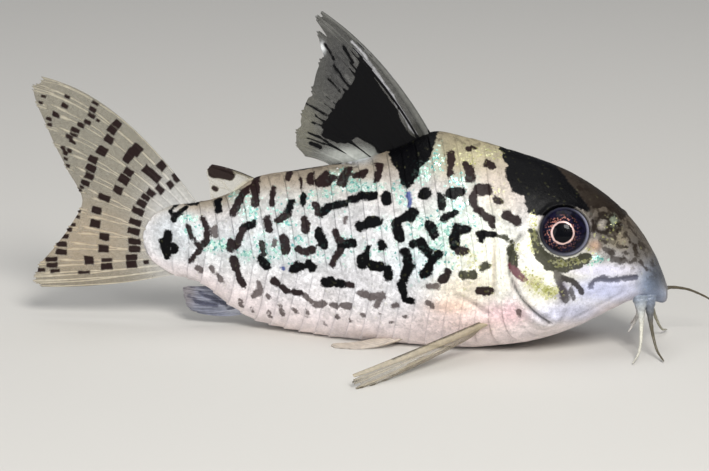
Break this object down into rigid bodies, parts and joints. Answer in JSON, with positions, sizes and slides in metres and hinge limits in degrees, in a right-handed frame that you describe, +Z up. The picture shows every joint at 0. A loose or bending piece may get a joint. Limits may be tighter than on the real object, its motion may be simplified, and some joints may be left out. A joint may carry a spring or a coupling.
{
  "type": "corydoras catfish, a still life-size model",
  "caption": "Small armoured catfish lying on its belly, with spotted flanks, a raised dorsal fin and feelers at the mouth.",
  "frame": {"origin": "middle of the flat of the belly, on the surface the fish lies on", "axes": "+X towards the snout, +Y to the fish's left, +Z up"},
  "size_m": [0.0691, 0.0364, 0.0326],
  "materials": {
    "head_skin": "wet skin over bone, brown-black mask above, white-gold cheek, lavender chin",
    "flank_skin": "wet skin over bony plates, silvery with brown-black spots and green glitter",
    "eye": "wet and glossy, black pupil in a thin pink-gold ring",
    "dark_fin": "thin wet membrane, black with a smoky clear border",
    "grey_fin": "thin wet membrane, smoky bluish grey",
    "clear_fin": "thin wet membrane, clear beige with dark dashes on the rays",
    "feeler": "wet skin, blue-grey to pale"
  },
  "bodies": {
    "root": {"head": "head_skin", "trunk": "flank_skin", "tail_stem": "flank_skin", "eye_right": "eye", "eye_left": "eye", "dorsal_fin": "dark_fin", "adipose_fin": "clear_fin", "anal_fin": "grey_fin", "caudal_fin": "clear_fin", "pectoral_fin_right": "clear_fin", "pectoral_fin_left": "clear_fin", "pelvic_fin_right": "clear_fin", "pelvic_fin_left": "clear_fin", "upper_barbel_right": "feeler", "upper_barbel_left": "feeler", "lower_barbel_right": "feeler", "lower_barbel_left": "feeler", "chin_barbel_right": "feeler", "chin_barbel_left": "feeler"}
  },
  "joints": []
}
